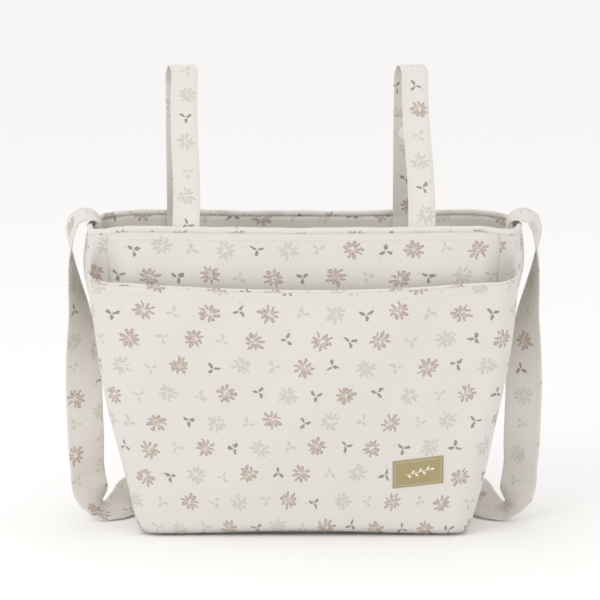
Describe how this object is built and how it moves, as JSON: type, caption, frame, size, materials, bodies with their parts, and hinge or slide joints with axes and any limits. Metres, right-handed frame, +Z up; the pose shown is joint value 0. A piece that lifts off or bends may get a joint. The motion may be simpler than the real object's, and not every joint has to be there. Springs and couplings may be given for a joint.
{
  "type": "diaper bag",
  "caption": "Soft tapered tote with a front slip pocket, snap loops for a pram handle and a long shoulder strap.",
  "frame": {"origin": "on the underside of the bottom panel, below the middle of the bag", "axes": "+Z up, -Y towards the front pocket, +X to the right seen from the front"},
  "size_m": [0.4698, 0.2079, 0.4487],
  "materials": {
    "printed_cloth": "matte printed cotton, warm ivory with small dusty flowers",
    "lining_cloth": "matte printed cotton, warm ivory with small dusty flowers",
    "board": "matte stiffener sheet",
    "label_cloth": "matte olive khaki woven patch",
    "tag_cloth": "matte grey ribbon",
    "snap_cap": "satin white",
    "snap_metal": "satin"
  },
  "bodies": {
    "bag": {"front_panel": "printed_cloth", "back_panel": "printed_cloth", "left_gusset": "printed_cloth", "right_gusset": "printed_cloth", "bottom_panel": "printed_cloth", "base_board": "board", "lining_floor": "lining_cloth", "lining_wall": "lining_cloth", "rim_binding": "printed_cloth", "front_pocket": "printed_cloth", "pocket_binding": "printed_cloth", "inner_pocket": "lining_cloth", "inner_pocket_binding": "lining_cloth", "front_label": "label_cloth", "side_tag": "tag_cloth", "left_strap_anchor": "printed_cloth", "right_strap_anchor": "printed_cloth", "left_loop_strap": "printed_cloth", "right_loop_strap": "printed_cloth", "left_back_strap_end": "printed_cloth", "right_back_strap_end": "printed_cloth"},
    "strap": {"shoulder_strap": "printed_cloth"},
    "left_tail": {"left_loop_tail": "printed_cloth", "left_snap_stud": "snap_metal", "left_snap_back_cap": "snap_cap"},
    "right_tail": {"right_loop_tail": "printed_cloth", "right_snap_stud": "snap_metal", "right_snap_back_cap": "snap_cap"},
    "left_fold": {"left_back_strap": "printed_cloth", "left_snap_cap": "snap_cap", "left_snap_socket": "snap_metal"},
    "right_fold": {"right_back_strap": "printed_cloth", "right_snap_cap": "snap_cap", "right_snap_socket": "snap_metal"}
  },
  "joints": [
    {"name": "shoulder_strap_lift", "type": "hinge", "parent": "bag", "child": "strap", "pos_m": [0, 0, 0.297], "axis": [1, 0, 0], "range_deg": [0, 180]},
    {"name": "left_tail_open", "type": "hinge", "parent": "bag", "child": "left_tail", "pos_m": [-0.124, 0.03851, 0.448], "axis": [1, 0, 0], "range_deg": [0, 100]},
    {"name": "right_tail_open", "type": "hinge", "parent": "bag", "child": "right_tail", "pos_m": [0.102, 0.03851, 0.448], "axis": [1, 0, 0], "range_deg": [0, 100]},
    {"name": "left_back_strap_fold", "type": "hinge", "parent": "bag", "child": "left_fold", "pos_m": [-0.124, 0.0679, 0.2955], "axis": [1, 0, 0], "range_deg": [0, 95]},
    {"name": "right_back_strap_fold", "type": "hinge", "parent": "bag", "child": "right_fold", "pos_m": [0.102, 0.0679, 0.2955], "axis": [1, 0, 0], "range_deg": [0, 95]}
  ]
}
